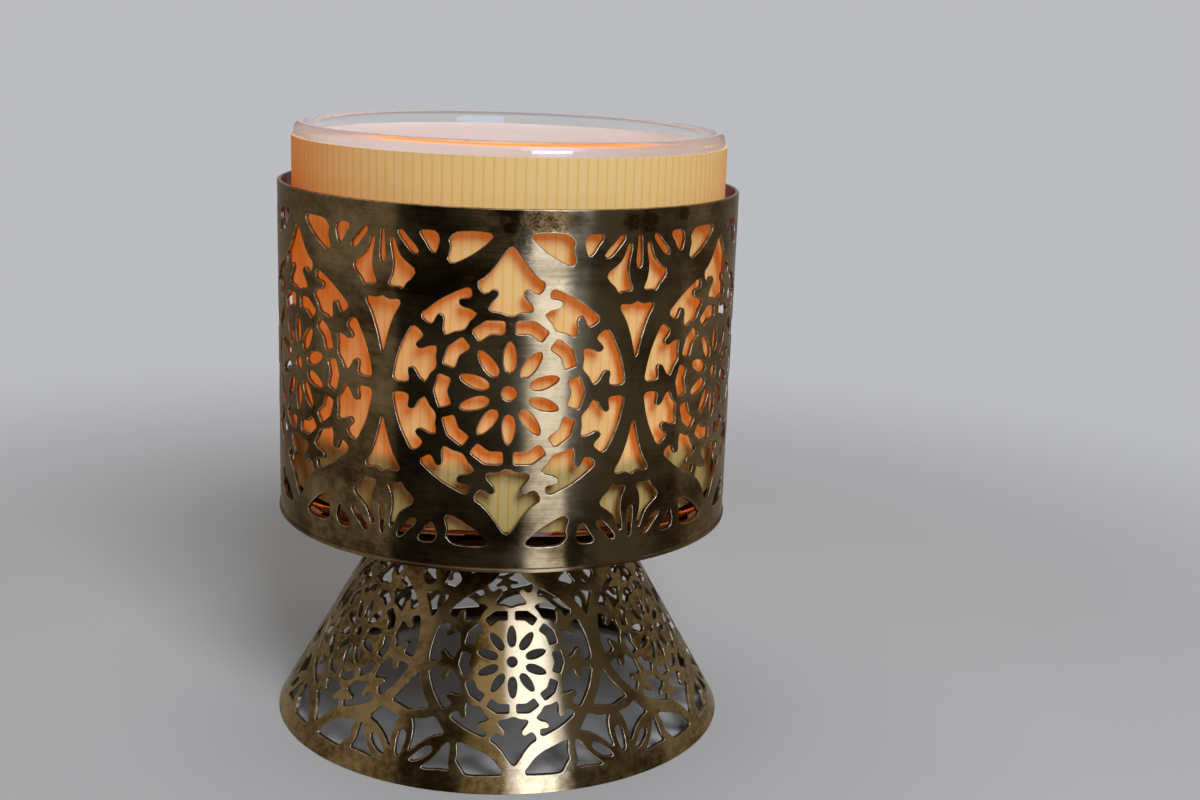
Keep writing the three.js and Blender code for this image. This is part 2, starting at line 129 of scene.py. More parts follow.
CONE_FOOT_SPRAY = {
    "halves": [
        [(0, 5.2), (0.2, 5.5), (0.6, 6.8), (1.9, 9.8), (3.7, 13.7), (3.75, 14.3), (2.6, 15.2),
         (1.0, 16.4), (0, 16.7)],
        [(0, 22.7), (0.75, 23.3), (1.05, 25.4), (0.85, 28), (0.45, 30.1), (0, 30.6)]],
    "sides": [
        [(1.6, 19.0), (1.9, 18.75), (3.2, 18.35), (4.5, 17.4), (5.3, 16.4), (5.75, 16.4),
         (6.3, 17.1), (7.2, 18.5), (8.3, 20.2), (8.75, 21.1), (8.6, 21.6), (7.2, 22.5),
         (5.3, 24.2), (3.7, 26.3), (2.75, 28.0), (2.4, 28.2), (2.4, 27.5), (2.6, 25.5),
         (2.6, 23.5), (2.3, 21), (1.75, 19.5)],
        [(3.05, 30.9), (3.35, 29.8), (4.5, 27.7), (5.8, 26.0), (6.7, 25.5), (7.2, 26.1),
         (7.0, 27.1), (6.1, 28.7), (4.6, 30.4), (3.6, 31.0)],
        [(10.5, 23.7), (10.2, 23.8), (9.6, 24.7), (8.7, 26.8), (7.3, 29.4), (5.9, 31.5),
         (5.6, 32.3), (6.2, 32.4), (9.0, 31.8), (10.6, 31.8), (10.9, 31.3), (10.55, 29.8),
         (10.6, 28.2), (10.75, 25.8), (10.7, 24.1)]],
    "corner": [(15.2, 23.6), (14.6, 23.5), (12.25, 24.6), (9.25, 26.1), (6.75, 27.9), (4.75, 30.2),
               (3.4, 32.2), (3.7, 32.9), (4.4, 33), (8.75, 32.95), (13.2, 32.7), (13.7, 32.3),
               (14.35, 30.8), (15.35, 28.8), (15.1, 27.2), (15.25, 25)],
    "seam": [(16.15, 24), (26.4, 5)]}

# Candle
JAR_RADIUS = 49.2
JAR_WALL = 3.4
JAR_FLOOR = 8.2
JAR_PUNT = 1.0
JAR_ROUND = 3.0
LIP_ROUND = 1.6
# The edge of the punt, in from the foot in shares of JAR_ROUND and up in shares of JAR_PUNT
PUNT_EDGE = [(2.0, 1.0), (1.4, 0.6), (1.0, 0.0)]
WRAP_RADIUS = 49.8
WRAP_CLING = 0.05
WRAP_LINES = 146
WAX_GAP = 0.3
WAX_SEAT = 0.1
# The dip in the wax: in from its side and down from its top, and then out from the axis and down
WAX_BRIM = [(0, 0), (0.4, 0.05), (1.4, 0.35), (3.5, 0.5)]
WAX_MIDDLE = [(24, 0.55), (8, 0.6), (0, 0.6)]
WICK_RADIUS = 1.5
WICK_STRANDS = 3
WICK_GROOVE = 0.14
WICK_TWIST = 9
WICK_BEND = 1.2
# Shares of a wick's height where it bends and where its end is rounded, and the width of the end
WICK_BENT = 0.25
WICK_TIP = 0.07
WICK_TIP_WIDTH = 0.55

# Fineness of the meshes
OUTLINE_STEP = 0.8
SEAM_STEP = 2.5
CORNER_STEPS = 4
PETAL_STEPS = 12
EYE_STEPS = 14
ROUND_STEPS = 144
PLATE_ARC, WAX_ARC, JAR_ARC = 4, 6, 8
WICK_LEVELS, WICK_AROUND = 36, 24

# What counts as the same: heights on a sheet, whose points are held in single precision, places on
# two cells, with so many steps to a millimetre, and a radius on the axis
SAME_HEIGHT = 0.001
MATCH_STEPS = 100
ON_AXIS = 1e-6

plate_low, plate_high = (corner.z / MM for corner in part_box("floor_plate"))
drum_low, drum_high = (corner.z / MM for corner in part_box("drum_sleeve"))
jar_low, jar_high = (corner.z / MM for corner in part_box("jar_glass"))
wrap_low, wrap_high = (corner.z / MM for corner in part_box("jar_wrap"))
wax_low, wax_high = (corner.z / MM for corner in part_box("wax_fill"))

# How the flat cells lie on the drum, and on the cone, which unrolls to a fan
DRUM_HEIGHT = drum_high - drum_low
DRUM_TALL = (DRUM_HEIGHT - 2 * DRUM_BAND) / CELL_HEIGHT
DRUM_UPPER = DRUM_HEIGHT / 2 / DRUM_TALL
CONE_HEIGHT = plate_low
CONE_RISE = (FOOT_RADIUS - NECK_RADIUS) / CONE_HEIGHT
SLANT = hypot(FOOT_RADIUS - NECK_RADIUS, CONE_HEIGHT)
TAPER = (FOOT_RADIUS - NECK_RADIUS) / SLANT
ZONE = SLANT - FOOT_BAND - NECK_BAND
FAN_FOOT = FOOT_RADIUS / TAPER
FAN_MIDDLE = FAN_FOOT - FOOT_BAND - ZONE / 2
CONE_TALL = ZONE / CELL_HEIGHT
CONE_WIDE = 2 * pi * FAN_MIDDLE * TAPER / CELLS / CELL_WIDTH
CONE_UPPER = (ZONE / 2 + NECK_BAND) / CONE_TALL
CONE_LOWER = -(ZONE / 2 + FOOT_BAND) / CONE_TALL


# Outlines of the perforations

def on_ray(angle, out, left):
    """The point at a distance out along a ray from the medallion's centre, and to the left of it."""
    return out * cos(angle) - left * sin(angle), out * sin(angle) + left * cos(angle)


def on_frame(angle, left):
    """Where a line beside a ray meets the oval frame."""
    dx, dy = cos(angle) / FRAME_WIDE, sin(angle) / FRAME_TALL
    nx, ny = -left * sin(angle) / FRAME_WIDE, left * cos(angle) / FRAME_TALL
    a, b, c = dx * dx + dy * dy, dx * nx + dy * ny, nx * nx + ny * ny - 1
    return on_ray(angle, (sqrt(b * b - a * c) - b) / a, left)


def mirrored(points):
    return [(-x, y) for x, y in points][::-1]


def upside_down(points):
    return [(x, -y) for x, y in points][::-1]


def shifted(points, by):
    return [(x + by, y) for x, y in points]


def curve_through(points):
    """A closed smooth curve through the points, as short straight steps."""
    curve = []
    for i in range(len(points)):
        before, start, end, after = (Vector(points[(i + k) % len(points)]) for k in (-1, 0, 1, 2))
        spans = ((before, start), (start, end), (end, after))
        d0, d1, d2 = (sqrt((b - a).length) for a, b in spans)
        leave = end - start + d1 * ((start - before) / d0 - (end - before) / (d0 + d1))
        arrive = end - start + d1 * ((after - end) / d2 - (after - start) / (d1 + d2))
        steps = max(1, round(d1 * d1 / OUTLINE_STEP))
        for k in range(steps):
            t = k / steps
            place = start * (1 + 2 * t) * (1 - t) ** 2 + end * t * t * (3 - 2 * t)
            curve.append(place + leave * t * (1 - t) ** 2 - arrive * t * t * (1 - t))
    return curve


def rounded(points, cut, longest=0.45):
    """The polygon with a short curve in place of each corner. The curve starts and ends at a distance
    cut from the corner, or at the longest share of a side that is short."""
    out = []
    for i, point in enumerate(points):
        corner = Vector(point)
        others = (points[i - 1], points[(i + 1) % len(points)])
        sides = [Vector(other) - corner for other in others]
        start, end = (corner + side * min(cut / side.length, longest) for side in sides)
        for k in range(CORNER_STEPS + 1):
            t = k / CORNER_STEPS
            out.append(start * (1 - t) ** 2 + corner * 2 * t * (1 - t) + end * t * t)
    return out


def petal(angle):
    middle, reach = (PETAL_INNER + PETAL_OUTER) / 2, (PETAL_OUTER - PETAL_INNER) / 2
    points = []
    for i in range(PETAL_STEPS):
        turn = 2 * pi * i / PETAL_STEPS
        half_width = PETAL_HALF_WIDTH * (1 - PETAL_TAPER * cos(turn))
        points.append(on_ray(angle, middle + reach * cos(turn), half_width * sin(turn)))
    return curve_through(points)


def ring_slot(angle):
    """A slot with a bend in the middle, between two spokes."""
    def end(side, radius):
        return on_ray(angle + side * HALF_STEP, radius * cos(HALF_STEP), -side * SPOKE_WIDTH / 2)
    points = [on_ray(angle, SLOT_OUTER, 0), end(1, SLOT_OUTER), end(1, SLOT_INNER),
              on_ray(angle, SLOT_INNER, 0), end(-1, SLOT_INNER), end(-1, SLOT_OUTER)]
    return rounded(points, SLOT_CORNER)


def frame_window(angle):
    """The window between two branches, from the ring to the oval frame."""
    def half(side):
        ray = angle + side * HALF_STEP
        edge = [on_ray(ray, out, -side * left) for out, left in BRANCH]
        corner = Vector(on_frame(ray, -side * STEM_HALF))
        stem, arc = Vector(edge[-1]), Vector(on_frame(ray, -side * 2 * STEM_HALF))
        cut = [corner + (p - corner).normalized() * FRAME_CORNER for p in (stem, arc)]
        return edge + cut + [on_frame(angle + side * HALF_STEP / 2, 0)]
    points = [on_ray(angle, RING_RADIUS, 0), *half(1), on_frame(angle, 0), *half(-1)[::-1]]
    return curve_through(points)


def cell_holes(above, below):
    """All cut shapes of one cell as closed curves, with the ornaments above and below the waist."""
    eye = [on_ray(2 * pi * i / EYE_STEPS, EYE_RADIUS, 0) for i in range(EYE_STEPS)]
    holes = [[Vector(p) for p in eye]]
    for i in range(PETALS):
        between = (2 * i + 1) * HALF_STEP
        holes += [petal(between), ring_slot(2 * i * HALF_STEP)]
        if abs(cos(between)) > sin(HALF_STEP):
            holes.append(frame_window(between))
    for spray, turn in ((above, list), (below, upside_down)):
        ornament = [points + mirrored(points)[1:-1] for points in spray["halves"]]
        for points in spray["sides"]:
            ornament += [points, mirrored(points)]
        shapes = [OGEE + mirrored(OGEE)[1:-1], spray["corner"], mirrored(spray["corner"])]
        shapes += [shifted(points, -CELL_WIDTH / 2) for points in ornament]
        holes += [curve_through(turn(points)) for points in shapes]
    return holes


def is_anticlockwise(points):
    following = [*points[1:], points[0]]
    return sum(a[0] * b[1] - b[0] * a[1] for a, b in zip(points, following)) > 0


def set_back(points, by):
    """The closed curve moved outwards, into the metal round a hole."""
    out = []
    sign = 1 if is_anticlockwise(points) else -1
    for i, point in enumerate(points):
        along = (points[(i + 1) % len(points)] - points[i - 1]).normalized()
        out.append(point + sign * by * Vector((along.y, -along.x)))
    return out


# Rolled sheets

def stretch(points):
    """The open line through the points in short steps, without its last point."""
    out = []
    for a, b in zip(points, points[1:]):
        steps = max(1, round((Vector(b) - Vector(a)).length / SEAM_STEP))
        out += [Vector(a).lerp(Vector(b), k / steps) for k in range(steps)]
    return out


def cell_outline(upper, lower, above, below):
    """The edge of one cell as pairs: where the flat face ends, and where the metal ends."""
    top, bottom = upper - EDGE_BEVEL, lower + EDGE_BEVEL
    bends = [*above["seam"], *upside_down(below["seam"])]
    high, low = (bends[0][0], top), (bends[-1][0], bottom)
    right = stretch([high, *bends, low])
    foot = stretch([low, (low[0] - CELL_WIDTH, bottom)])
    left = [Vector((p.x - CELL_WIDTH, p.y)) for p in [*right[1:], Vector(low)]][::-1]
    head = stretch([(high[0] - CELL_WIDTH, top), high])

    def metal_end(y):
        if y > top - SAME_HEIGHT:
            return upper
        return lower if y < bottom + SAME_HEIGHT else y
    return [(p, Vector((p.x, metal_end(p.y)))) for p in [*right, *foot, *left, *head]]


def flat_cell(upper, lower, above, below):
    """Points of one cell, each with the edge point behind it, and the triangles between them."""
    loops = [cell_outline(upper, lower, above, below)]
    for hole in cell_holes(above, below):
        loops.append(list(zip(set_back(hole, EDGE_BEVEL), hole)))
    loops = [loop if is_anticlockwise([face for face, _ in loop]) else loop[::-1] for loop in loops]
    pairs = [pair for loop in loops for pair in loop]
    faces, start = [], 0
    for loop in loops:
        faces.append(list(range(start, start + len(loop))))
        start += len(loop)
    inside_only, epsilon = 1, 1e-7
    made = delaunay_2d_cdt([face for face, _ in pairs], [], faces, inside_only, epsilon)
    places, triangles, came_from, inside = made[0], made[2], made[3], made[5]
    points = [pairs[origin[0]] for origin in came_from]
    metal = [tuple(t) for t, within in zip(triangles, inside) if within == [0]]
    upright = [t if is_anticlockwise([places[i] for i in t]) else t[::-1] for t in metal]
    return points, upright


def rolled_cells(upper, lower, sprays, place, flange):
    """All cells rolled up: a section at each point, from the outer face round the edge of the metal to
    the inner face, and the triangles between the points."""
    points, triangles = flat_cell(upper, lower, *sprays)
    sections, found, skin = [], {}, []
    for turn in range(CELLS):
        by = turn * CELL_WIDTH
        at = []
        for face, edge in points:
            outer = place(face.x + by, face.y, 0)
            key = tuple(round(v / MM * MATCH_STEPS) for v in outer)
            if key not in found:
                found[key] = len(sections)
                if flange and edge.y > upper - SAME_HEIGHT:
                    behind = flange(edge.x + by)
                else:
                    behind = [place(edge.x + by, edge.y, depth) for depth in (EDGE_BEVEL, SHEET)]
                sections.append([outer, *behind])
            at.append(found[key])
        skin += [tuple(at[i] for i in t) for t in triangles]
    return sections, skin


# Kinds of face on a rolled sheet, which are also its material slots
OUTER, INNER, BEVEL, WALL = range(4)


def rolled_sheet(upper, lower, sprays, place, flange=None):
    """A closed shell and the kind of each of its faces. place gives the metres of a flat point at a
    depth below the outer face. flange gives the points behind a point of the upper rim."""
    sections, skin = rolled_cells(upper, lower, sprays, place, flange)
    edges = {(t[i], t[(i + 1) % 3]) for t in skin for i in range(3)}
    rims = [(a, b) for a, b in edges if (b, a) not in edges]
    verts, faces, kinds, index = [], [], [], {}

    def corner(n, k):
        if (n, k) not in index:
            index[n, k] = len(verts)
            verts.append(sections[n][k])
        return index[n, k]
    for a, b, c in skin:
        faces.append((corner(a, 0), corner(b, 0), corner(c, 0)))
        faces.append((corner(a, -1), corner(c, -1), corner(b, -1)))
        kinds += [OUTER, INNER]
    for a, b in rims:
        last = min(len(sections[a]), len(sections[b])) - 1
        for k in range(last):
            nearer, further = k, -1 if k + 1 == last else k + 1
            near_edge = (corner(b, nearer), corner(a, nearer))
            faces.append((*near_edge, corner(a, further), corner(b, further)))
            kinds.append(BEVEL if k == 0 and last == 2 else WALL)
    return verts, faces, kinds


def round_axis(azimuth, radius, height):
    """Metres of a point round the upright axis, with azimuth 0 at the front."""
    return Vector((radius * sin(azimuth), -radius * cos(azimuth), height)) * MM


def drum_place(x, y, depth):
    azimuth = DRUM_TURN + x / CELL_WIDTH / CELLS * 2 * pi
    return round_axis(azimuth, DRUM_RADIUS - depth, (drum_low + drum_high) / 2 + y * DRUM_TALL)


def smoothstep(value, low, high):
    t = min(1, max(0, (value - low) / (high - low)))
    return t * t * (3 - 2 * t)


def cone_place(x, y, depth):
    """The medallions lie undistorted on the fan, and the ornaments between them spread with it."""
    cell = round(x / CELL_WIDTH)
    side = x - cell * CELL_WIDTH
    edge = max(OGEE_SHOULDER, FRAME_WIDE * sqrt(max(0, 1 - (y / FRAME_TALL) ** 2)))
    rim = CONE_UPPER if y > 0 else -CONE_LOWER
    beside = smoothstep(abs(side), edge, CELL_WIDTH / 2)
    spread = max(beside, smoothstep(abs(y), CELL_HEIGHT / 2, rim))
    down = FAN_MIDDLE - y * CONE_TALL
    fan = hypot(down, side * CONE_WIDE)
    fan += (down - fan) * spread
    angle = atan2(side * CONE_WIDE, down) / TAPER
    angle += (side / CELL_WIDTH / CELLS * 2 * pi - angle) * spread
    azimuth = CONE_TURN + angle + cell / CELLS * 2 * pi
    radius = fan * TAPER - depth * SLANT / CONE_HEIGHT
    return round_axis(azimuth, radius, (FAN_FOOT - fan) * CONE_HEIGHT / SLANT)


def neck_flange(x):
    """Section of the turned-in rim under the plate, from its outer corner to the inside of the cone."""
    azimuth = CONE_TURN + x / CELL_WIDTH / CELLS * 2 * pi
    wall = SHEET * SLANT / CONE_HEIGHT
    lip = NECK_RADIUS - wall - FLANGE_WIDTH
    inside = NECK_RADIUS - wall + SHEET * CONE_RISE
    profile = [(NECK_RADIUS, CONE_HEIGHT), (lip, CONE_HEIGHT),
               (lip, CONE_HEIGHT - SHEET), (inside, CONE_HEIGHT - SHEET)]
    return [round_axis(azimuth, radius, height) for radius, height in profile]


# Turned pieces

def arc(middle, radius, start, end, steps):
    """Points of a profile on a round corner. Angles are in degrees, with 0 outwards and 90 up."""
    turns = [radians(start + (end - start) * i / steps) for i in range(steps + 1)]
    return [(middle[0] + radius * cos(t), middle[1] + radius * sin(t)) for t in turns]


def turned(profile, steps=ROUND_STEPS):
    """A closed body from a profile of radius and height, which ends on the axis or closes on itself."""
    rings, verts, faces = [], [], []
    for radius, height in profile:
        count = 1 if radius < ON_AXIS else steps
        rings.append([len(verts) + i % count for i in range(steps)])
        verts += [round_axis(2 * pi * i / steps, radius, height) for i in range(count)]
    on_axis = profile[0][0] < ON_AXIS and profile[-1][0] < ON_AXIS
    for low, high in zip(rings, rings[1:] if on_axis else [*rings[1:], rings[0]]):
        for i in range(steps):
            j = (i + 1) % steps
            face = [low[i], low[j], high[j], high[i]]
            faces.append(tuple(dict.fromkeys(face)))
    return verts, [face for face in faces if len(face) > 2]


def plate_profile():
    edge = PLATE_RADIUS - PLATE_ROUND
    return [(0, plate_low),
            *arc((edge, plate_low + PLATE_ROUND), PLATE_ROUND, -90, 0, PLATE_ARC),
            *arc((edge, plate_high - PLATE_ROUND), PLATE_ROUND, 0, 90, PLATE_ARC),
            (0, plate_high)]


def jar_profile():
    foot, inside = JAR_RADIUS - JAR_ROUND, JAR_RADIUS - JAR_WALL
    floor, lip = jar_low + JAR_FLOOR, jar_high - LIP_ROUND
    return [(0, jar_low + JAR_PUNT),
            *((foot - wide * JAR_ROUND, jar_low + tall * JAR_PUNT) for wide, tall in PUNT_EDGE),
            *arc((foot, jar_low + JAR_ROUND), JAR_ROUND, -90, 0, JAR_ARC),
            (JAR_RADIUS, wrap_low), (JAR_RADIUS, wrap_high),
            *arc((JAR_RADIUS - LIP_ROUND, lip), LIP_ROUND, 0, 90, JAR_ARC),
            *arc((inside + LIP_ROUND, lip), LIP_ROUND, 90, 180, JAR_ARC),
            *arc((inside - JAR_ROUND, floor + JAR_ROUND), JAR_ROUND, 0, -90, JAR_ARC),
            (0, floor)]


def wrap_profile():
    """The film clings to the glass, so the jar's wall shows it."""
    inside = JAR_RADIUS - WRAP_CLING
    return [(inside, wrap_low), (WRAP_RADIUS, wrap_low), (WRAP_RADIUS, wrap_high), (inside, wrap_high)]


def wax_profile():
    """Wax in the jar, with a shallow dip in the middle and a trace of air between it and the glass."""
    radius = JAR_RADIUS - JAR_WALL - WAX_GAP
    floor = wax_low + WAX_SEAT
    return [(0, floor),
            *arc((radius - JAR_ROUND, floor + JAR_ROUND), JAR_ROUND, -90, 0, WAX_ARC),
            *((radius - side, wax_high - down) for side, down in WAX_BRIM),
            *((out, wax_high - down) for out, down in WAX_MIDDLE)]


def wick(low, high, centre):
    """A cord of twisted strands with a blunt, slightly bent top."""
    verts, faces = [], []
    for level in range(WICK_LEVELS + 1):
        t = level / WICK_LEVELS
        bend = WICK_BEND * (max(0, t - 1 + WICK_BENT) / WICK_BENT) ** 2
        round_off = sqrt(max(0, 1 - max(0, (t - 1 + WICK_TIP) / WICK_TIP) ** 2))
        end = WICK_TIP_WIDTH + (1 - WICK_TIP_WIDTH) * round_off
        for i in range(WICK_AROUND):
            turn = 2 * pi * i / WICK_AROUND
            strand = 1 - WICK_GROOVE + WICK_GROOVE * cos(WICK_STRANDS * (turn - t * WICK_TWIST))
            radius = WICK_RADIUS * strand * end
            x = centre.x + radius * sin(turn) + bend
            y = centre.y - radius * cos(turn)
            verts.append(Vector((x, y, low + (high - low) * t)) * MM)
    for level in range(WICK_LEVELS):
        a, b = level * WICK_AROUND, (level + 1) * WICK_AROUND
        for i in range(WICK_AROUND):
            j = (i + 1) % WICK_AROUND
            faces.append((a + i, a + j, b + j, b + i))
    top = WICK_LEVELS * WICK_AROUND
    faces += [tuple(range(WICK_AROUND))[::-1], tuple(range(top, top + WICK_AROUND))]
    return verts, faces


# Materials

class Nodes:
    """Short names for building one node tree."""

    def __init__(self, tree):
        self.tree = tree

    def put(self, socket, value):
        """Links another node's output to a socket, or sets a constant on it."""
        if isinstance(value, bpy.types.NodeSocket):
            self.tree.links.new(value, socket)
        else:
            socket.default_value = value

    def add(self, kind, inputs=None, **settings):
        node = self.tree.nodes.new(kind)
        for name, value in settings.items():
            setattr(node, name, value)
        for name, value in (inputs or {}).items():
            self.put(node.inputs[name], value)
        return node

    def place(self):
        return self.add("ShaderNodeTexCoord").outputs["Object"]

    def math(self, operation, *values):
        return self.add("ShaderNodeMath", dict(enumerate(values)), operation=operation).outputs[0]

    def noise(self, vector, scale=1.0, detail=4.0, roughness=0.55):
        inputs = {"Vector": vector, "Scale": scale, "Detail": detail, "Roughness": roughness}
        return self.add("ShaderNodeTexNoise", inputs).outputs["Fac"]

    def swing(self, noise, share):
        """A noise that runs to both sides of 0, scaled by a share."""
        return self.math("MULTIPLY", self.math("SUBTRACT", noise, 0.5), share)

    def distance(self, vector, point):
        inputs = {0: vector, 1: point}
        return self.add("ShaderNodeVectorMath", inputs, operation="DISTANCE").outputs["Value"]

    def stretched(self, vector, scale):
        return self.add("ShaderNodeMapping", {"Vector": vector, "Scale": scale}).outputs[0]

    def ramp(self, value, low, high):
        """0 at low, 1 at high and smooth between. It falls with the value where low is above high."""
        inputs = {"Value": value, "From Min": low, "From Max": high}
        return self.add("ShaderNodeMapRange", inputs, interpolation_type="SMOOTHSTEP").outputs[0]

    def blend(self, factor, a, b):
        """Mixes two colours, which are sockets 6 and 7 of the node."""
        node = self.add("ShaderNodeMix", data_type="RGBA")
        for number, value in ((0, factor), (6, a), (7, b)):
            self.put(node.inputs[number], value)
        return node.outputs[2]

    def between(self, factor, low, high):
        inputs = {"Value": factor, "To Min": low, "To Max": high}
        return self.add("ShaderNodeMapRange", inputs).outputs[0]

    def bump(self, height, distance, strength):
        inputs = {"Height": height, "Distance": distance, "Strength": strength}
        return self.add("ShaderNodeBump", inputs).outputs[0]


def new_material(name):
    material = bpy.data.materials.new(name)
    material.use_nodes = True
    return material, Nodes(material.node_tree), material.node_tree.nodes["Principled BSDF"]


def set_inputs(nodes, shader, **values):
    for name, value in values.items():
        nodes.put(shader.inputs[name.replace("_", " ")], value)


def scaled(colour, by):
    return tuple(by * c for c in colour[:3]) + (1,)


# Brass. The noises' scales are in cycles to the metre, and the brushing runs round the z axis.
BRIGHT_BRASS = (0.395, 0.285, 0.145, 1)
GOLD_BRASS = (0.52, 0.36, 0.165, 1)
DARK_PATINA = (0.075, 0.043, 0.015, 1)
BROWN_PATINA = (0.125, 0.068, 0.021, 1)
EDGE_TINT = (0.88, 0.82, 0.72, 1)
RED_BRASS = (0.34, 0.16, 0.075, 1)
DARK_RED = (0.09, 0.035, 0.018, 1)
STAIN_BROWN = (0.045, 0.021, 0.009, 1)
STAIN_GOLD = (0.17, 0.095, 0.032, 1)
EDGE_BRASS = (0.36, 0.27, 0.15, 1)
WORN_BRASS = (0.66, 0.5, 0.28, 1)
CLOUD_SCALE = (40, 40, 62)
STREAK_SCALE = (30, 30, 3600)
SCRATCH_SCALE = (70, 70, 6500)
MOTTLE_SCALE = 520.0
GRAIN_SCALE = 2000.0
GRAIN_RANGE = (0.34, 0.66)
EDGE_MOTTLE_SCALE = 500.0
EDGE_MOTTLE_RANGE = (0.35, 0.6)
EDGE_DARKEST = 0.5
RAGGED = 1.2
PATCH_FULL = 0.2
STAIN_FULL = 0.45
STAIN_COVER = 0.92
STAIN_ROUGHNESS = 0.25
SCRATCH_ROUGHNESS = 0.16
SCRATCH_RELIEF = 0.6


def cover(nodes, place, mottle, spot, radius, full):
    """How far a ragged patch covers a place, from 0 at its radius to 1 at the full share of it."""
    ragged = nodes.swing(mottle, RAGGED * radius)
    away = nodes.math("ADD", nodes.distance(place, spot), ragged)
    return nodes.ramp(away, radius, full * radius)


def brass(name, bright, dark, patina, gloss, patches=(), stains=(), metallic=1.0,
          brushing=0.2, mottling=0.22):
    """Antiqued brass, brushed round the axis. The dark patina lies in clouds between two levels of a
    noise, broken up by shares of brushing and mottling. gloss is the roughness of the patina and of worn
    metal. patches give the middle, the radius and the strength of places with less patina, or with more
    where the strength is below 0; they are partly wear and partly painted light, as they sit where the
    front's highlights and dark reflections fall and make them brighter or duller. stains give the middle
    and the radius of brown spots."""
    material, nodes, shader = new_material(name)
    place = nodes.place()
    worn = nodes.noise(nodes.stretched(place, CLOUD_SCALE), detail=5.0, roughness=0.6)
    streaks = nodes.noise(nodes.stretched(place, STREAK_SCALE), detail=4.0, roughness=0.6)
    scratches = nodes.noise(nodes.stretched(place, SCRATCH_SCALE), detail=3.0, roughness=0.7)
    mottle = nodes.noise(place, MOTTLE_SCALE, detail=4.0, roughness=0.6)
    for detail, share in ((streaks, brushing), (mottle, mottling)):
        worn = nodes.math("ADD", worn, nodes.swing(detail, share))
    for spot, radius, strength in patches:
        patch = cover(nodes, place, mottle, spot, radius, PATCH_FULL)
        worn = nodes.math("ADD", worn, nodes.math("MULTIPLY", patch, strength))
    worn = nodes.ramp(worn, *patina)
    colour = nodes.blend(worn, dark, bright)
    rough = nodes.between(worn, *gloss)
    rough = nodes.math("ADD", rough, nodes.swing(scratches, SCRATCH_ROUGHNESS))
    grain = nodes.noise(place, GRAIN_SCALE, detail=3.0, roughness=0.6)
    tarnish = nodes.blend(nodes.ramp(grain, *GRAIN_RANGE), STAIN_BROWN, STAIN_GOLD)
    for spot, radius in stains:
        stain = cover(nodes, place, mottle, spot, radius, STAIN_FULL)
        stain = nodes.math("MULTIPLY", stain, STAIN_COVER)
        colour = nodes.blend(stain, colour, tarnish)
        rough = nodes.math("ADD", rough, nodes.math("MULTIPLY", stain, STAIN_ROUGHNESS))
    relief = nodes.math("ADD", nodes.math("MULTIPLY", scratches, SCRATCH_RELIEF), streaks)
    tangent = nodes.add("ShaderNodeTangent", direction_type="RADIAL", axis="Z").outputs[0]
    set_inputs(nodes, shader, Base_Color=colour, Roughness=rough, Metallic=metallic,
               Specular_Tint=EDGE_TINT, Anisotropic=0.95, Anisotropic_Rotation=0.25, Tangent=tangent,
               Normal=nodes.bump(relief, distance=0.00002, strength=0.35))
    return material


def cut_edge(name, bright, gloss):
    """The bare metal of the sheet's cut walls and worn bevels."""
    material, nodes, shader = new_material(name)
    mottle = nodes.noise(nodes.place(), EDGE_MOTTLE_SCALE, detail=4.0, roughness=0.6)
    clean = nodes.ramp(mottle, *EDGE_MOTTLE_RANGE)
    set_inputs(nodes, shader, Base_Color=nodes.blend(clean, scaled(bright, EDGE_DARKEST), bright),
               Roughness=nodes.between(mottle, *gloss), Metallic=1.0)
    return material


# Printed film, with the candle's light painted into it as a glow, for the flames are not in the scene.
# Heights are from the top of the wax.
PAPER_BY_WAX = (0.42, 0.355, 0.135, 1)
# Above the wax the paper and the ink are greener, so that with the painted glow they read cream
PAPER_ABOVE = (0.38, 0.495, 0.235, 1)
PAPER_PALE = (0.66, 0.62, 0.34, 1)
INK_BY_WAX = (0.41, 0.31, 0.08, 1)
INK_ABOVE = (0.37, 0.44, 0.155, 1)
# Colours of the painted flame glow in the paper and in the ink
PAPER_FLAME_GLOW = (1.0, 0.17, 0.003, 1)
INK_FLAME_GLOW = (0.95, 0.14, 0.002, 1)
# Colours of the film's inside: orange-brown low down, where the painted flame glow shows, and pale near
# the rim
INSIDE_LOW = (0.50, 0.28, 0.12, 1)
INSIDE_HIGH = (0.57, 0.58, 0.60, 1)
# Painted glow inside: orange flame light low down, and pale daylight falling in through the mouth near the
# rim
INSIDE_FLAME_GLOW = (1.0, 0.28, 0.03, 1)
INSIDE_DAYLIGHT_GLOW = (1.0, 0.68, 0.58, 1)
# Heights and strengths of the painted glow, outside and inside: it starts at the wax, is weaker towards
# the rim and faint below the wax. Then the paper's pale clouds and the printed lines.
WAX_SHADE = (-2.5, 1.5)
BRIGHT_BELOW = 25
INSIDE_FADE = (20, 46)
FILM_GLOW = 0.44
GLOW_BY_WAX = 0.1
GLOW_AT_RIM = 0.8
INSIDE_GLOW = (2.4, 0.65)
INSIDE_GLOW_BY_WAX = 0.07
PALE_SHARE = 0.2
LINE_EDGE = (0.24, 0.16)
LINE_CORE = 0.02


def film_outside(nodes, z, line, cloud, above_wax):
    """Colour, colour of the light, and painted glow of the printed side."""
    paper = nodes.blend(above_wax, PAPER_BY_WAX, PAPER_ABOVE)
    paper = nodes.blend(nodes.math("MULTIPLY", cloud, PALE_SHARE), paper, PAPER_PALE)
    printed = nodes.blend(line, paper, nodes.blend(above_wax, INK_BY_WAX, INK_ABOVE))
    low_down = nodes.ramp(z, drum_high * MM, (wax_high + BRIGHT_BELOW) * MM)
    by_height = nodes.between(low_down, GLOW_AT_RIM, 1.0)
    glow = nodes.math("MULTIPLY", nodes.between(above_wax, GLOW_BY_WAX, 1.0), by_height)
    glow = nodes.math("MULTIPLY", glow, nodes.between(cloud, 0.85, 1.15))
    return printed, nodes.blend(line, PAPER_FLAME_GLOW, INK_FLAME_GLOW), glow


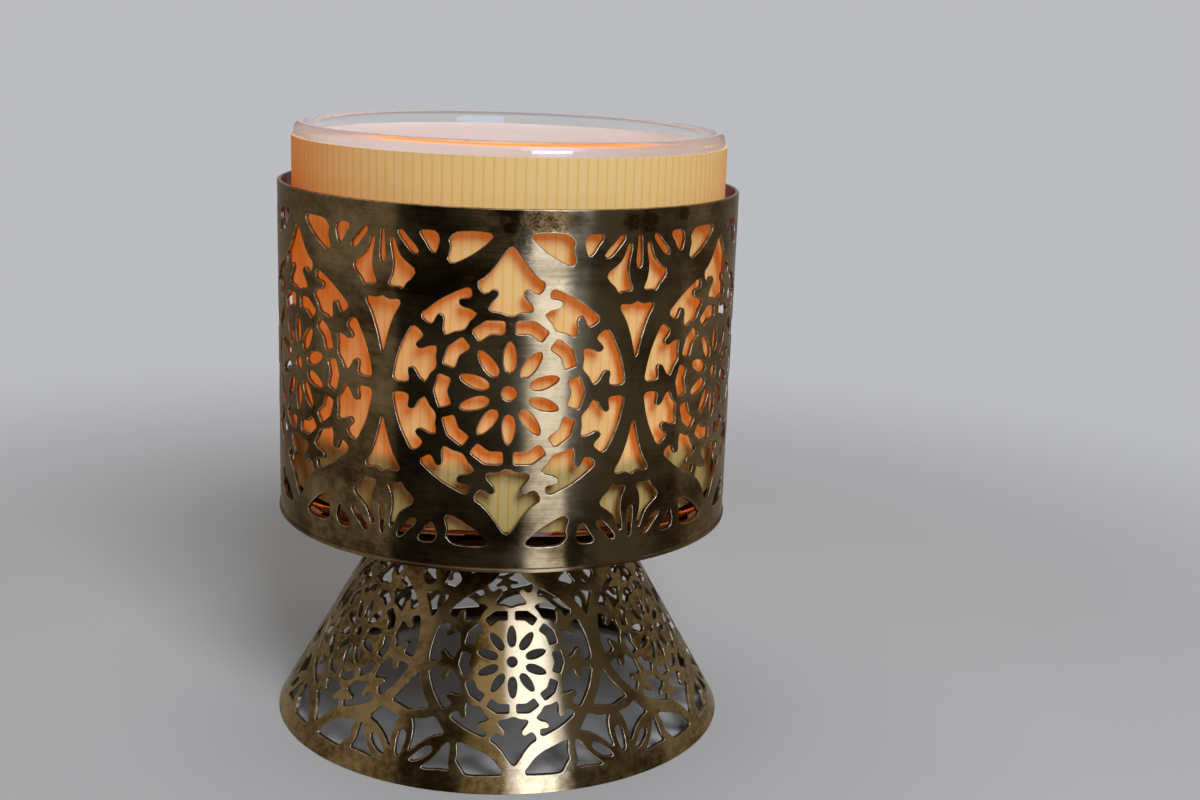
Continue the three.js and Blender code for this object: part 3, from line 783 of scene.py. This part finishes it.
def film_inside(nodes, z, cloud, above_wax):
    """Colour, colour of the light, and painted glow of the side on the glass: orange flame light low down,
    and pale daylight that falls in through the jar's mouth near the rim."""
    start, end = INSIDE_FADE
    upper = nodes.ramp(z, (wax_high + start) * MM, (wax_high + end) * MM)
    colour = nodes.blend(upper, INSIDE_LOW, INSIDE_HIGH)
    light = nodes.blend(upper, INSIDE_FLAME_GLOW, INSIDE_DAYLIGHT_GLOW)
    glow = nodes.math("MULTIPLY", nodes.between(upper, *INSIDE_GLOW), nodes.between(cloud, 0.9, 1.1))
    glow = nodes.math("MULTIPLY", glow, nodes.between(above_wax, INSIDE_GLOW_BY_WAX, 1.0))
    return colour, light, glow


def film(name, inner):
    """Cream film with fine upright lines. Above the wax it glows with painted candle light, and faintly
    below it, which stands for flames that are not in the scene.
    """
    material, nodes, shader = new_material(name)
    place = nodes.place()
    x, y, z = nodes.add("ShaderNodeSeparateXYZ", {0: place}).outputs
    around = nodes.math("MULTIPLY", nodes.math("ARCTAN2", x, y), WRAP_LINES / (2 * pi))
    wave = nodes.math("ABSOLUTE", nodes.math("SUBTRACT", nodes.math("FRACT", around), 0.5))
    uneven = nodes.noise(nodes.stretched(place, scale=(160, 160, 12)), detail=2.0)
    line = nodes.ramp(wave, nodes.between(uneven, *LINE_EDGE), LINE_CORE)
    cloud = nodes.noise(place, scale=60.0, detail=3.0)
    above_wax = nodes.ramp(z, *((wax_high + height) * MM for height in WAX_SHADE))
    if inner:
        colour, light, glow = film_inside(nodes, z, cloud, above_wax)
    else:
        colour, light, glow = film_outside(nodes, z, line, cloud, above_wax)
    gaps = nodes.math("SUBTRACT", 1.0, line)
    set_inputs(nodes, shader, Base_Color=colour, Roughness=nodes.between(cloud, 0.5, 0.62),
               Specular_IOR_Level=0.06, Emission_Color=light,
               Emission_Strength=nodes.math("MULTIPLY", glow, FILM_GLOW),
               Normal=nodes.bump(gaps, distance=0.00003, strength=0.3))
    return material


# Glass, wax, wicks and tabs
CLEAR_GLASS = (0.97, 0.985, 0.98, 1)
# Red-brown tint of the jar's foot: a painted reflection of the holder's warm inside, which the clear foot
# mirrors
FOOT_GLOW_TINT = (0.46, 0.17, 0.085, 1)
DEEP_WAX = (0.80, 0.68, 0.44, 1)
PALE_WAX = (0.88, 0.80, 0.58, 1)
DARK_COTTON = (0.52, 0.43, 0.29, 1)
PALE_COTTON = (0.74, 0.66, 0.5, 1)
BLACK_CHAR = (0.012, 0.01, 0.009, 1)
GREY_CHAR = (0.06, 0.05, 0.045, 1)
CHAR_RAGGED = 0.003
# Heights from the top of the wax, between which a wick turns black
CHARRED = (-1, 3)
DARK_STEEL = (0.5, 0.5, 0.51, 1)
PALE_STEEL = (0.66, 0.66, 0.67, 1)


def jar_glass(name, tint):
    """Smooth glass with slight waves."""
    material, nodes, shader = new_material(name)
    waves = nodes.noise(nodes.stretched(nodes.place(), scale=(60, 60, 25)), detail=1.0)
    set_inputs(nodes, shader, Base_Color=tint, Roughness=0.0, IOR=1.5, Transmission_Weight=1.0,
               Normal=nodes.bump(waves, distance=0.0002, strength=0.08))
    return material


def candle_wax():
    material, nodes, shader = new_material("cream_wax")
    place = nodes.place()
    cloud = nodes.noise(place, scale=45.0)
    fine = nodes.noise(place, scale=380.0, detail=3.0)
    relief = nodes.math("ADD", cloud, nodes.math("MULTIPLY", fine, 0.3))
    set_inputs(nodes, shader, Base_Color=nodes.blend(cloud, DEEP_WAX, PALE_WAX),
               Roughness=nodes.between(fine, 0.32, 0.5), Subsurface_Weight=0.35,
               Subsurface_Radius=(0.006, 0.003, 0.0015), Subsurface_Scale=1.0,
               Normal=nodes.bump(relief, distance=0.0004, strength=0.5))
    return material


def wick_cotton():
    """Cotton that is charred above the wax."""
    material, nodes, shader = new_material("wick_cotton")
    place = nodes.place()
    z = nodes.add("ShaderNodeSeparateXYZ", {0: place}).outputs[2]
    fibre = nodes.noise(nodes.stretched(place, scale=(2600, 2600, 900)))
    height = nodes.math("ADD", z, nodes.swing(fibre, CHAR_RAGGED))
    burnt = nodes.ramp(height, *((wax_high + level) * MM for level in CHARRED))
    cotton = nodes.blend(fibre, DARK_COTTON, PALE_COTTON)
    char = nodes.blend(fibre, BLACK_CHAR, GREY_CHAR)
    set_inputs(nodes, shader, Base_Color=nodes.blend(burnt, cotton, char), Roughness=0.92,
               Normal=nodes.bump(fibre, distance=0.0002, strength=0.8))
    return material


def tab_steel():
    material, nodes, shader = new_material("tab_steel")
    grain = nodes.noise(nodes.stretched(nodes.place(), scale=(120, 2400, 120)))
    set_inputs(nodes, shader, Base_Color=nodes.blend(grain, DARK_STEEL, PALE_STEEL), Metallic=1.0,
               Roughness=nodes.between(grain, 0.25, 0.45),
               Normal=nodes.bump(grain, distance=0.00003, strength=0.4))
    return material


# Pieces


def add_piece(name, mesh_data, body, node, materials, kinds=None, sharp=30):
    """A new mesh that stands for a CAD node and rides on its body. It is smooth up to sharp degrees."""
    verts, faces = mesh_data
    mesh = bpy.data.meshes.new(name)
    mesh.from_pydata(verts, [], faces)
    for material in materials:
        mesh.materials.append(material)
    if kinds:
        mesh.polygons.foreach_set("material_index", kinds)
    mesh.polygons.foreach_set("use_smooth", [True] * len(faces))
    mesh.update()
    mesh.validate()
    mesh.set_sharp_from_angle(angle=radians(sharp))
    piece = bpy.data.objects.new(name, mesh)
    bpy.context.scene.collection.objects.link(piece)
    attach(piece, body)
    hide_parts(node)
    return piece


def second_material(piece, chosen):
    """Gives the chosen faces the second of the piece's materials."""
    for face in piece.data.polygons:
        face.material_index = 1 if chosen(face) else 0


def round_normals(piece, rise):
    """Sets the normals of a rolled sheet's two faces to those of the true round surface, and turns
    those of its bevels smoothly from the outer face to the cut wall. rise is how far the outer normal
    tilts up, as a slope."""
    mesh = piece.data
    normals = [Vector(n.vector) for n in mesh.corner_normals]
    corners = [(loop, mesh.loops[loop].vertex_index, face.material_index)
               for face in mesh.polygons for loop in face.loop_indices]
    walls = {}
    for loop, vertex, kind in corners:
        if kind == WALL:
            walls[vertex] = walls.get(vertex, Vector()) + normals[loop]
    for loop, vertex, kind in corners:
        place = mesh.vertices[vertex].co
        flat = Vector((place.x, place.y, 0)).normalized()
        outward = Vector((flat.x, flat.y, rise)).normalized()
        if kind == INNER:
            normals[loop] = -outward
        elif kind == OUTER or kind == BEVEL and vertex not in walls:
            normals[loop] = outward
        elif kind == BEVEL:
            normals[loop] = walls[vertex].normalized()
    mesh.normals_split_custom_set(normals)


def shell(node, rolled, rise, materials):
    verts, faces, kinds = rolled
    piece = add_piece(node + "_fine", (verts, faces), "holder", node, materials, kinds)
    round_normals(piece, rise)


def add_shells(inner_skin):
    """The drum and the cone. Patches and stains are given by azimuth in degrees, radius of the sheet
    and height, and then by their own radius and a patch's strength."""
    # Patches on the front of drum and cone, partly wear and partly painted highlight and shade: they
    # brighten or dull the metal where the highlights and dark reflections fall
    drum_patches = [(12, DRUM_RADIUS, drum_low + 38, 30, 0.2), (5, DRUM_RADIUS, drum_high, 10, -0.2),
                    (14, DRUM_RADIUS, drum_high, 7, -0.16), (25, DRUM_RADIUS, drum_high, 12, 0.3),
                    (28, DRUM_RADIUS, drum_low + 3, 12, 0.25), (-38, DRUM_RADIUS, drum_low + 3, 16, -0.08)]
    cone_patches = [(12, 38, 22, 22, 0.3), (-10, 38, 28, 9, -0.4)]
    # Azimuth, distance below the rim, and radius
    drum_stains = [(4.5, 2.0, 2.8), (7.5, 2.8, 3.4), (10, 2.2, 2.4), (28.5, 2.4, 3.0), (33, 2.8, 3.4),
                   (44, 1.6, 2.2)]

    def placed(patches):
        return [(round_axis(radians(azimuth), radius, height), reach * MM, strength)
                for azimuth, radius, height, reach, strength in patches]
    stains = [(round_axis(radians(azimuth), DRUM_RADIUS, drum_high - down), radius * MM)
              for azimuth, down, radius in drum_stains]
    drum_skin = brass("drum_antique_brass", BRIGHT_BRASS, DARK_PATINA, patina=(0.32, 0.70),
                      gloss=(0.16, 0.23), patches=placed(drum_patches), stains=stains)
    cone_skin = brass("cone_antique_brass", GOLD_BRASS, BROWN_PATINA, patina=(0.30, 0.68),
                      gloss=(0.15, 0.22), patches=placed(cone_patches), brushing=0.16, mottling=0.55)
    bevel_skin = cut_edge("worn_edge_brass", WORN_BRASS, gloss=(0.14, 0.3))
    wall_skin = cut_edge("cut_edge_brass", EDGE_BRASS, gloss=(0.22, 0.44))
    drum = rolled_sheet(DRUM_UPPER, -DRUM_UPPER, (DRUM_SPRAY, DRUM_SPRAY), drum_place)
    shell("drum_sleeve", drum, 0, [drum_skin, inner_skin, bevel_skin, wall_skin])
    cone_sprays = (CONE_TOP_SPRAY, CONE_FOOT_SPRAY)
    cone = rolled_sheet(CONE_UPPER, CONE_LOWER, cone_sprays, cone_place, neck_flange)
    shell("pedestal_cone", cone, CONE_RISE, [cone_skin, cone_skin, bevel_skin, wall_skin])


def add_plate(inner_skin):
    """The plate, which is red like the inside of the drum on top."""
    skin = brass("plate_brass", BRIGHT_BRASS, BROWN_PATINA, patina=(0.3, 0.6), gloss=(0.28, 0.4))
    plate = add_piece("floor_plate_fine", turned(plate_profile()), "holder", "floor_plate",
                      [skin, inner_skin])
    facing_up = 0.995
    second_material(plate, lambda face: face.normal.z > facing_up)


def faces_axis(face):
    return face.normal.x * face.center.x + face.normal.y * face.center.y < 0


def add_candle():
    # The foot's glass is tinted red-brown as a painted warm reflection
    glasses = [jar_glass("jar_clear_glass", CLEAR_GLASS), jar_glass("jar_foot_glow_tinted_glass", FOOT_GLOW_TINT)]
    jar = add_piece("jar_glass_fine", turned(jar_profile()), "candle", "jar_glass", glasses)
    second_material(jar, lambda face: face.center.z < wrap_low * MM)
    films = [film("wrap_film", False), film("wrap_inside", True)]
    wrap = add_piece("jar_wrap_fine", turned(wrap_profile(), 2 * WRAP_LINES), "candle", "jar_wrap", films)
    second_material(wrap, faces_axis)
    add_piece("wax_fill_fine", turned(wax_profile()), "candle", "wax_fill", [candle_wax()])
    cotton, steel = wick_cotton(), tab_steel()
    for number in (1, 2, 3):
        low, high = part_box(f"wick_{number}")
        shape = wick(low.z / MM, high.z / MM, (low + high) / 2 / MM)
        add_piece(f"wick_{number}_fine", shape, "candle", f"wick_{number}", [cotton], sharp=60)
        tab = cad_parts[f"wick_tab_{number}"]
        tab.data.materials.clear()
        tab.data.materials.append(steel)


# Stage, light and camera

FLOOR_GREY = (0.43, 0.43, 0.435, 1)
FLOOR_CLOUD = 1.03
WALL_GREY = (0.50, 0.505, 0.53, 1)
ROOM_GREY = (0.075, 0.069, 0.055, 1)
WINDOW_WHITE = (0.87, 1.0, 1.32, 1)
SKY_WHITE = (0.8, 1.0, 1.65, 1)
CURTAIN_CREAM = (1.0, 0.93, 0.78, 1)
DIM_WHITE = (0.19, 0.178, 0.165, 1)
DUSK = (0.11, 0.11, 0.11, 1)
NEAR_BLACK = (0.05, 0.05, 0.05, 1)
# Metres
FLOOR_RADIUS = 0.42
FLOOR_PLAIN = 0.17
LIGHT_TARGET = Vector((0, 0, 0.07))
FLOOR_STEPS = 64
CARD_STEPS = 12
# Profiles of the reflection cards, as radius and height in metres
FLOOR_CARD = [(0.06, 0.001), (0.3, 0.001), (0.3, 0.14)]
HIGH_CARD = [(0.3, 0.14), (0.3, 0.4)]
WHOLE_CARD = FLOOR_CARD + HIGH_CARD[1:]
GLINT_CARD = [(0.299, 0.131), (0.299, 0.146)]
# Name, profile, the two azimuths in degrees that a card lies between, colour and brightness. The
# drum reflects the floor cards to the camera, and the cone the high ones.
CARDS = [
    ("left_far_low", FLOOR_CARD, -160, -100, DIM_WHITE, 1.0),
    ("left_far_high", HIGH_CARD, -160, -100, DIM_WHITE, 0.7),
    ("left_wall", WHOLE_CARD, -100, -50, DIM_WHITE, 1.5),
    ("left_low", FLOOR_CARD, -50, 9, NEAR_BLACK, 0.7),
    ("window_curtain", FLOOR_CARD, 9, 12, WINDOW_WHITE, 0.9),
    ("window_low", FLOOR_CARD, 12, 26.5, WINDOW_WHITE, 1.95),
    ("right_low", FLOOR_CARD, 26.5, 42, NEAR_BLACK, 1.8),
    ("left_high", HIGH_CARD, -50, -17, DUSK, 1.0),
    ("curtain_high", HIGH_CARD, -17, 5, CURTAIN_CREAM, 0.55),
    ("window_high", HIGH_CARD, 5, 36, SKY_WHITE, 2.9),
    ("window_glint", GLINT_CARD, 10, 29, SKY_WHITE, 14.0),
    ("right_high", HIGH_CARD, 36, 42, DUSK, 1.0),
    ("right_wall", WHOLE_CARD, 42, 88, DIM_WHITE, 0.55),
    ("right_far_low", FLOOR_CARD, 88, 160, DIM_WHITE, 1.3),
    ("right_far_high", HIGH_CARD, 88, 160, DIM_WHITE, 0.75),
    ("back_low", FLOOR_CARD, 165, 195, WINDOW_WHITE, 1.2),
    ("back_high", HIGH_CARD, 165, 195, WINDOW_WHITE, 0.35)]
# The camera stands where the photograph was taken from.
CAMERA_PLACE = Vector((0, -375.9, 166.4)) * MM
CAMERA_YAW, CAMERA_PITCH, CAMERA_ROLL = radians(3.454), radians(13.497), radians(2.043)
CAMERA_LENS, CAMERA_SENSOR = 48.4, 36.0
CAMERA_NEAREST = 0.01


def add_stage(name, verts, faces, material):
    mesh = bpy.data.meshes.new(name)
    mesh.from_pydata(verts, [], faces)
    mesh.materials.append(material)
    thing = bpy.data.objects.new(name, mesh)
    bpy.context.scene.collection.objects.link(thing)
    return thing


def add_floor():
    """A pale round floor that fades out into the background."""
    material, nodes, shader = new_material("floor_paint")
    place = nodes.place()
    cloud = nodes.noise(place, scale=30.0)
    away = nodes.add("ShaderNodeVectorMath", {0: place}, operation="LENGTH").outputs["Value"]
    paint = nodes.blend(cloud, FLOOR_GREY, scaled(FLOOR_GREY, FLOOR_CLOUD))
    set_inputs(nodes, shader, Base_Color=paint, Roughness=0.8, Specular_IOR_Level=0.0,
               Alpha=nodes.ramp(away, FLOOR_RADIUS, FLOOR_PLAIN))
    turns = [2 * pi * i / FLOOR_STEPS for i in range(FLOOR_STEPS)]
    rim = [Vector((cos(turn), sin(turn), 0)) * FLOOR_RADIUS for turn in turns]
    add_stage("floor", rim, [tuple(range(FLOOR_STEPS))], material)


def add_card(name, profile, start, end, colour, brightness):
    """A card round the object, which only reflections show, as a window or as the dark between
    windows. What is seen through the glass has no card in it."""
    material, nodes, shader = new_material(name)
    through = nodes.add("ShaderNodeLightPath").outputs["Transmission Depth"]
    set_inputs(nodes, shader, Base_Color=(0, 0, 0, 1), Specular_IOR_Level=0.0, Emission_Color=colour,
               Emission_Strength=brightness, Alpha=nodes.math("LESS_THAN", through, 0.5))
    turns = [radians(start + (end - start) * i / CARD_STEPS) for i in range(CARD_STEPS + 1)]
    verts = [Vector((r * sin(turn), -r * cos(turn), z)) for turn in turns for r, z in profile]
    rows = len(profile)
    faces = [(rows * i + k, rows * (i + 1) + k, rows * (i + 1) + k + 1, rows * i + k + 1)
             for i in range(CARD_STEPS) for k in range(rows - 1)]
    card = add_stage(name, verts, faces, material)
    for kind in ("camera", "diffuse", "transmission", "shadow"):
        setattr(card, "visible_" + kind, False)


def add_light(name, azimuth, elevation, distance, size, power, colour=(1, 1, 1)):
    """A soft rectangular light that faces the middle of the object."""
    data = bpy.data.lights.new(name, "AREA")
    data.shape = "RECTANGLE"
    data.size, data.size_y = size
    data.energy, data.color = power, colour
    lamp = bpy.data.objects.new(name, data)
    a, e = radians(azimuth), radians(elevation)
    back = Vector((sin(a) * cos(e), -cos(a) * cos(e), sin(e)))
    lamp.location = LIGHT_TARGET + back * distance
    lamp.rotation_mode = "QUATERNION"
    lamp.rotation_quaternion = (-back).to_track_quat("-Z", "Y")
    lamp.visible_glossy = False
    bpy.context.scene.collection.objects.link(lamp)


def add_world():
    """A pale room. What the camera, reflections and the glass see of it is the plain background."""
    world = bpy.data.worlds.new("room")
    world.use_nodes = True
    bpy.context.scene.world = world
    nodes = Nodes(world.node_tree)
    path = nodes.add("ShaderNodeLightPath").outputs
    seen = nodes.math("MAXIMUM", path["Is Camera Ray"], path["Is Glossy Ray"])
    seen = nodes.math("MAXIMUM", seen, path["Is Transmission Ray"])
    background = world.node_tree.nodes["Background"]
    nodes.put(background.inputs["Color"], nodes.blend(seen, ROOM_GREY, WALL_GREY))


def add_camera():
    data = bpy.data.cameras.new("camera")
    data.lens, data.sensor_width, data.clip_start = CAMERA_LENS, CAMERA_SENSOR, CAMERA_NEAREST
    camera = bpy.data.objects.new("camera", data)
    level = Vector((sin(CAMERA_YAW), cos(CAMERA_YAW), 0))
    ahead = level * cos(CAMERA_PITCH) - Vector((0, 0, sin(CAMERA_PITCH)))
    right = ahead.cross(Vector((0, 0, 1))).normalized()
    up = right.cross(ahead)
    rolled_right = right * cos(CAMERA_ROLL) + up * sin(CAMERA_ROLL)
    rolled_up = up * cos(CAMERA_ROLL) - right * sin(CAMERA_ROLL)
    turn = Matrix((rolled_right, rolled_up, -ahead)).transposed().to_4x4()
    camera.matrix_world = Matrix.Translation(CAMERA_PLACE) @ turn
    bpy.context.scene.collection.objects.link(camera)
    bpy.context.scene.camera = camera


red_skin = brass("inner_red_brass", RED_BRASS, DARK_RED, patina=(0.3, 0.7), gloss=(0.32, 0.46),
                 metallic=0.5)
add_shells(red_skin)
add_plate(red_skin)
add_candle()
add_floor()
for card in CARDS:
    add_card(*card)
add_light("key_window", azimuth=19, elevation=40, distance=1.3, size=(0.5, 0.6), power=14.5,
          colour=(0.975, 1, 1.05))
add_light("ceiling", azimuth=190, elevation=78, distance=1.2, size=(1.2, 1.2), power=7)
add_world()
add_camera()
bpy.context.scene.view_settings.view_transform = "Standard"

bpy.context.view_layer.update()
